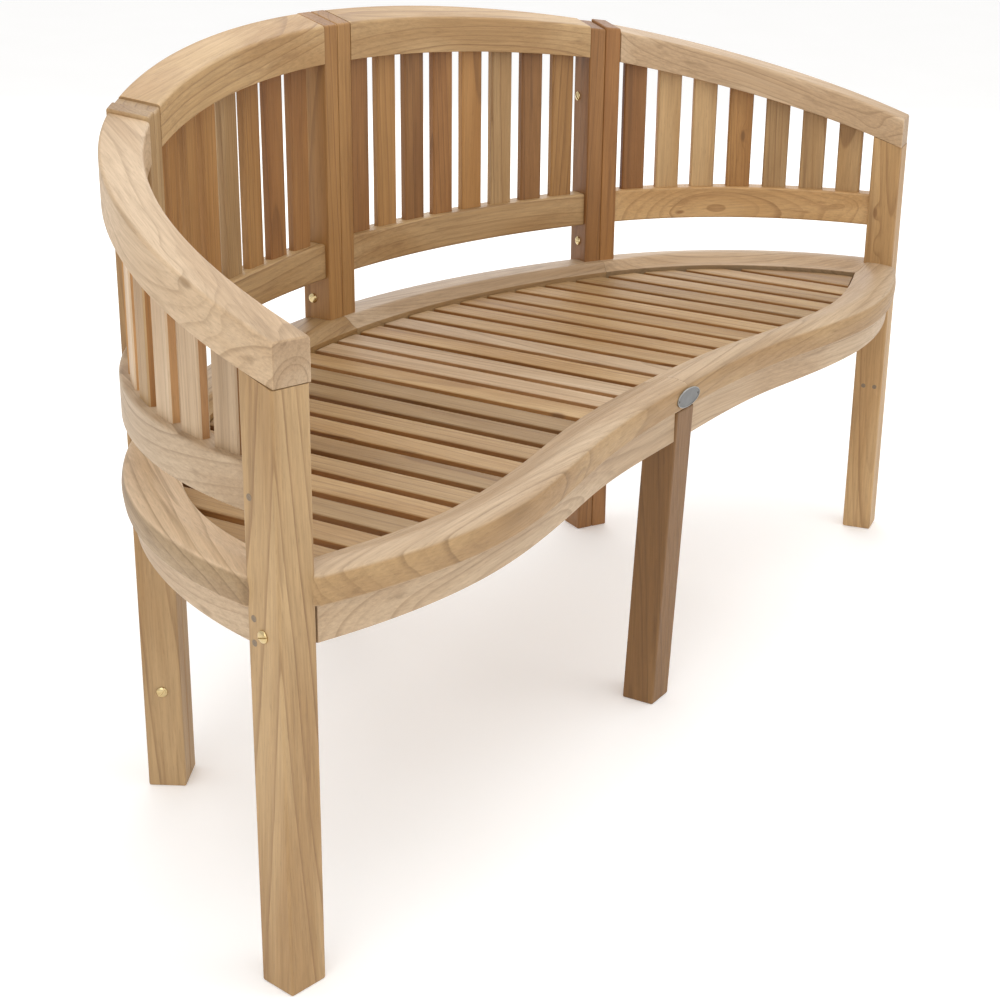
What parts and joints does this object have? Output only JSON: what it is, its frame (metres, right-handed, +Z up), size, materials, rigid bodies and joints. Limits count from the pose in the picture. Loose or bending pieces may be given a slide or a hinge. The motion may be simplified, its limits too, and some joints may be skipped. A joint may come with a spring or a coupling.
{
  "type": "curved garden bench",
  "caption": "Crescent-shaped wooden garden bench with a curved slatted back sweeping round into low arms, a rounded rim round a slatted seat, and legs joined by aprons.",
  "frame": {"origin": "centre of the bench's bounding box on the floor, under its feet", "axes": "+X along the bench to its right-hand arm as seen from the front, +Y to the back, +Z up"},
  "size_m": [1.4992, 0.6076, 0.8181],
  "materials": {
    "slats": "oiled teak, fine straight grain, soft sheen",
    "seat_rim": "oiled pale teak, rounded edges, soft sheen",
    "seat_slats": "oiled pale teak, soft sheen",
    "top_rails": "oiled pale teak, figured grain, soft sheen",
    "rails": "oiled teak, soft sheen",
    "posts": "oiled teak, straight grain, soft sheen"
  },
  "bodies": {
    "root": {"left_middle_post": "posts", "left_back_pair_post": "posts", "left_arm_pair_post": "posts", "left_front_leg": "posts", "left_back_top_rail": "top_rails", "left_back_lower_rail": "rails", "left_back_slat_1": "slats", "left_back_slat_2": "slats", "left_back_slat_3": "slats", "left_back_slat_4": "slats", "left_back_slat_5": "slats", "left_back_slat_6": "slats", "left_back_slat_7": "slats", "left_back_slat_8": "slats", "left_arm_top_rail": "top_rails", "left_arm_lower_rail": "rails", "left_arm_slat_1": "slats", "left_arm_slat_2": "slats", "left_arm_slat_3": "slats", "left_arm_slat_4": "slats", "left_arm_slat_5": "slats", "left_arm_slat_6": "slats", "left_arm_slat_7": "slats", "left_back_apron": "rails", "left_side_apron": "rails", "left_front_apron": "rails", "left_front_rim": "seat_rim", "left_side_rim": "seat_rim", "left_back_rim": "seat_rim", "right_middle_post": "posts", "right_back_pair_post": "posts", "right_arm_pair_post": "posts", "right_front_leg": "posts", "right_back_top_rail": "top_rails", "right_back_lower_rail": "rails", "right_back_slat_1": "slats", "right_back_slat_2": "slats", "right_back_slat_3": "slats", "right_back_slat_4": "slats", "right_back_slat_5": "slats", "right_back_slat_6": "slats", "right_back_slat_7": "slats", "right_back_slat_8": "slats", "right_arm_top_rail": "top_rails", "right_arm_lower_rail": "rails", "right_arm_slat_1": "slats", "right_arm_slat_2": "slats", "right_arm_slat_3": "slats", "right_arm_slat_4": "slats", "right_arm_slat_5": "slats", "right_arm_slat_6": "slats", "right_arm_slat_7": "slats", "right_back_apron": "rails", "right_side_apron": "rails", "right_front_apron": "rails", "right_front_rim": "seat_rim", "right_side_rim": "seat_rim", "right_back_rim": "seat_rim", "centre_leg": "posts", "seat_deck": "seat_slats"}
  },
  "joints": []
}
